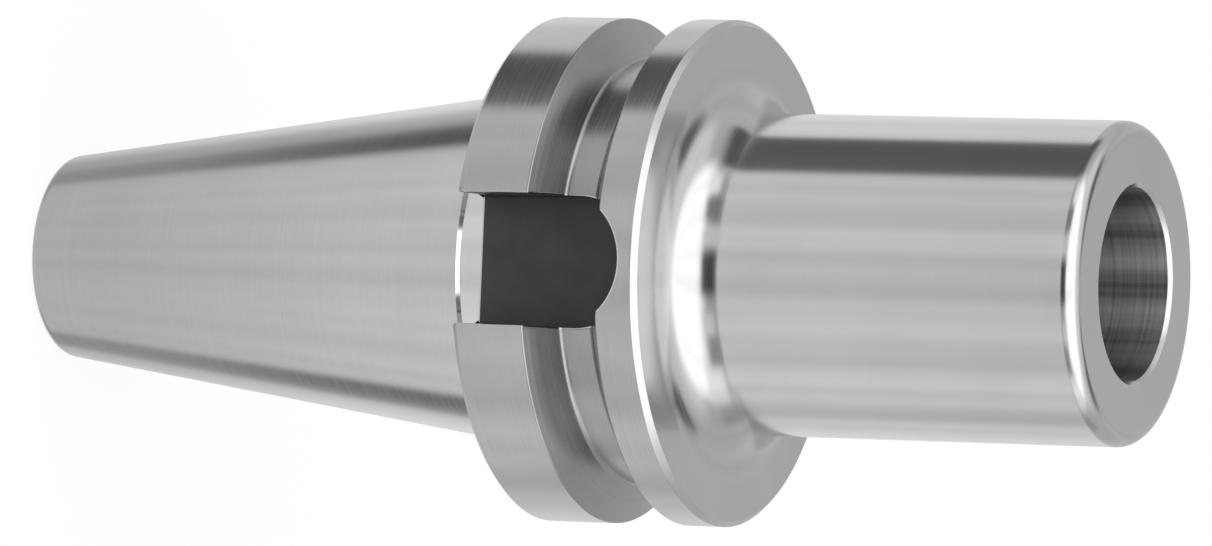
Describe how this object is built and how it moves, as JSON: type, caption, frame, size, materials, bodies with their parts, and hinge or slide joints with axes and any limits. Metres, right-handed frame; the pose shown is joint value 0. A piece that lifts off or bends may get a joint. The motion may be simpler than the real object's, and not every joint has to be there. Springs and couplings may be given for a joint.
{
  "type": "morse taper adapter",
  "caption": "Steep-taper spindle holder with a grooved flange, drive slots and a cylindrical nose that holds a morse taper socket.",
  "frame": {"origin": "on the axis, in the gauge plane of the steep taper", "axes": "+Z along the axis from the shank's small end to the nose; a drive slot on each of the -Y and +Y sides"},
  "size_m": [0.063, 0.063, 0.1454],
  "materials": {
    "ground_steel": "ground, with dark milled drive slots"
  },
  "bodies": {
    "root": {"adapter": "ground_steel"}
  },
  "joints": []
}
